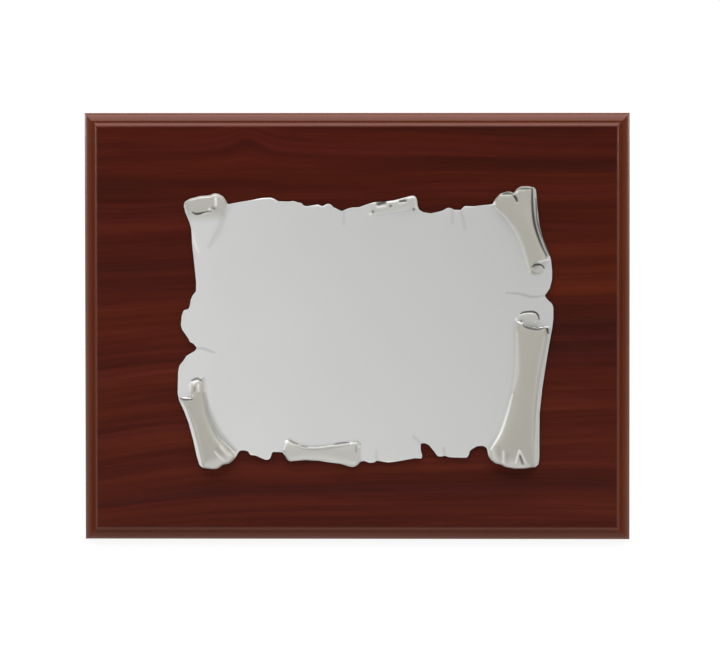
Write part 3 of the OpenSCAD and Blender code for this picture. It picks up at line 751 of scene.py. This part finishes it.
def inner_points(loop):
    """The front's points inside the torn edge: rings along it, and a grid that is fine
    where there is relief."""
    tangent = np.roll(loop, -1, 0) - np.roll(loop, 1, 0)
    inward = np.stack([-tangent[:, 1], tangent[:, 0]], axis=1)
    inward /= np.hypot(*inward.T)[:, None]
    rings = []
    for depth in RING_DEPTHS:
        ring = loop + inward * depth
        rings.append(ring[edge_distance(ring, loop) > RING_KEPT * depth])
    fine = hex_grid(loop.min(0), loop.max(0), FINE_STEP)
    coarse = hex_grid(loop.min(0), loop.max(0), COARSE_STEP)
    grid = np.vstack([fine[in_relief(fine)], coarse[~in_relief(coarse)]])
    grid = grid[edge_distance(grid, loop) > RING_DEPTHS[-1] + GRID_GAP]
    return np.vstack(rings + [grid])


def triangulate(points, border):
    """The points as an array, and the triangles between them within the border."""
    flat, _, faces, _, _, _ = delaunay_2d_cdt(
        [Vector(p) for p in points], border, [], 1, NEAR_ZERO)
    return np.array([tuple(p) for p in flat]), [tuple(face) for face in faces]


def parchment():
    """The pressed plate: its relief in front, a flat back and a wall round the torn edge."""
    loop = torn_outline()
    count = len(loop)
    border = [(i, (i + 1) % count) for i in range(count)]
    flat, faces = triangulate(np.vstack([loop, inner_points(loop)]), border)
    depth = edge_distance(flat, loop)
    depth[:count] = 0
    rise, *finishes = relief(flat, np.maximum(depth, 0))
    front = to_world(flat[:, 0], PLATE_BACK - SHEET - rise, flat[:, 1])
    back_flat, back_faces = triangulate(loop, border)
    back = to_world(back_flat[:, 0], np.full(len(back_flat), PLATE_BACK), back_flat[:, 1])
    shift = len(front)
    walls = [(i, i + shift, (i + 1) % count + shift, (i + 1) % count) for i in range(count)]
    backs = [tuple(i + shift for i in reversed(face)) for face in back_faces]
    mesh = bpy.data.meshes.new("parchment_relief")
    mesh.from_pydata(np.vstack([front, back]).tolist(), [], faces + walls + backs)
    mesh.update()
    smooth = [True] * len(faces) + [False] * (len(walls) + len(backs))
    mesh.polygons.foreach_set("use_smooth", smooth)
    # per point: roll tone (partly patina, partly painted reflection), painted shadow and shade,
    # painted highlight; the back gets none
    finish = np.ones((len(mesh.vertices), 4), np.float32)
    finish[:shift, :3] = np.stack(finishes, axis=1)
    finish[shift:, :3] = 0
    layer = mesh.color_attributes.new("finish", "FLOAT_COLOR", "POINT")
    layer.data.foreach_set("color", finish.ravel())
    mesh.materials.append(pressed_silver())
    piece = bpy.data.objects.new("parchment_relief", mesh)
    bpy.context.scene.collection.objects.link(piece)
    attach(piece, "board")
    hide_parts("parchment_plate")


# ---- studio --------------------------------------------------------------------

CENTRE = (0, 0, 0.09)             # where the lamps point, m
# lamps: name, place (m), size (m), radiance. The two low ones behind the board put the
# glints on the side mouldings.
LAMPS = [("overhead", (0.0, 0.05, 1.7), (2.6, 2.2), 4.0),
         ("side_left", (-1.0, -0.52, 0.62), (0.6, 0.56), 1.3),
         ("side_right", (1.0, -0.52, 0.62), (0.6, 0.56), 0.95),
         ("back_left", (-0.75, 0.42, 0.28), (0.35, 0.5), 7.0),
         ("back_right", (0.75, 0.42, 0.28), (0.35, 0.5), 7.0)]
SKY = 0.12                        # strength of the white surroundings
FLOOR_HALF = 15                   # half the floor's side, m
FLOOR_Z = -0.0002                 # just under the object
FLOOR_GLOW = 0.93                 # keeps the floor an even white

# the camera: what it looks at (board mm), then metres and degrees
TARGET = (1.188, -9.0, 88.46)
DISTANCE = 3.0
AZIMUTH, ELEVATION, TILT = 1.5, 17.93, -0.443
LENS, SENSOR = 355.2, 36          # mm


def softbox(name, place, size, radiance):
    """A rectangular lamp of that size (m), as bright as given against a white of 1."""
    light = bpy.data.lights.new(name, "AREA")
    light.shape = "RECTANGLE"
    light.size, light.size_y = size
    light.energy = radiance * math.pi * size[0] * size[1]
    lamp = bpy.data.objects.new(name, light)
    lamp.location = place
    lamp.rotation_euler = (Vector(CENTRE) - Vector(place)).to_track_quat("-Z", "Y").to_euler()
    bpy.context.scene.collection.objects.link(lamp)


def white_floor():
    """A floor that glows evenly, so that it stays white under the object too."""
    mesh = bpy.data.meshes.new("floor")
    corners = [(-1, -1), (1, -1), (1, 1), (-1, 1)]
    mesh.from_pydata([(x * FLOOR_HALF, y * FLOOR_HALF, FLOOR_Z) for x, y in corners], [],
                     [(0, 1, 2, 3)])
    floor = bpy.data.objects.new("floor", mesh)
    bpy.context.scene.collection.objects.link(floor)
    s = Shader("floor_white")
    s.set(Base_Color=(0.08, 0.08, 0.08, 1), Roughness=0.9, Specular_IOR_Level=0.1,
          Emission_Color=(1, 1, 1, 1), Emission_Strength=FLOOR_GLOW)
    mesh.materials.append(s.material)


def studio():
    """Pale surroundings, a white floor and the lamps."""
    world = bpy.data.worlds.new("studio")
    world.use_nodes = True
    background = world.node_tree.nodes["Background"]
    background.inputs["Color"].default_value = (1.0, 1.0, 1.0, 1)
    background.inputs["Strength"].default_value = SKY
    bpy.context.scene.world = world
    white_floor()
    for name, place, size, radiance in LAMPS:
        softbox(name, place, size, radiance)


def camera():
    """Front view, nearly square to the leaning face."""
    target = Vector(to_world(*(np.array([value]) for value in TARGET))[0])
    a, e, t = (math.radians(v) for v in (AZIMUTH, ELEVATION, TILT))
    away = Vector((math.sin(a) * math.cos(e), -math.cos(a) * math.cos(e), math.sin(e)))
    right = Vector((math.cos(a), math.sin(a), 0))
    up = away.cross(right)
    turned_right = right * math.cos(t) + up * math.sin(t)
    turned_up = up * math.cos(t) - right * math.sin(t)
    view = bpy.data.cameras.new("camera")
    view.sensor_width = SENSOR
    view.lens = LENS
    view.clip_start, view.clip_end = 0.1, 100
    lens = bpy.data.objects.new("camera", view)
    lens.matrix_world = Matrix((
        (turned_right.x, turned_up.x, away.x, 0), (turned_right.y, turned_up.y, away.y, 0),
        (turned_right.z, turned_up.z, away.z, 0), (0, 0, 0, 1)))
    lens.location = target + away * DISTANCE
    bpy.context.scene.collection.objects.link(lens)
    bpy.context.scene.camera = lens


# ---- scene ---------------------------------------------------------------------

camera()
studio()
bpy.context.scene.view_settings.view_transform = "Standard"
dress(edge_lacquer(), "board_core")
dress(mahogany_foil(), "front_laminate")
dress(back_foil(), "back_laminate")
dress(foam_tape(), "plate_tape")
dress(zinc_steel(), "keyhole_plate", "keyhole_screws", "hinge_pin")
dress(hinge_brass(), "hinge_base", "hinge_base_screws", "hinge_leaf", "leaf_rivets")
dress(strut_board(), "strut")
dress(black_rubber(), "strut_foot_pad", "back_bumpers")
parchment()
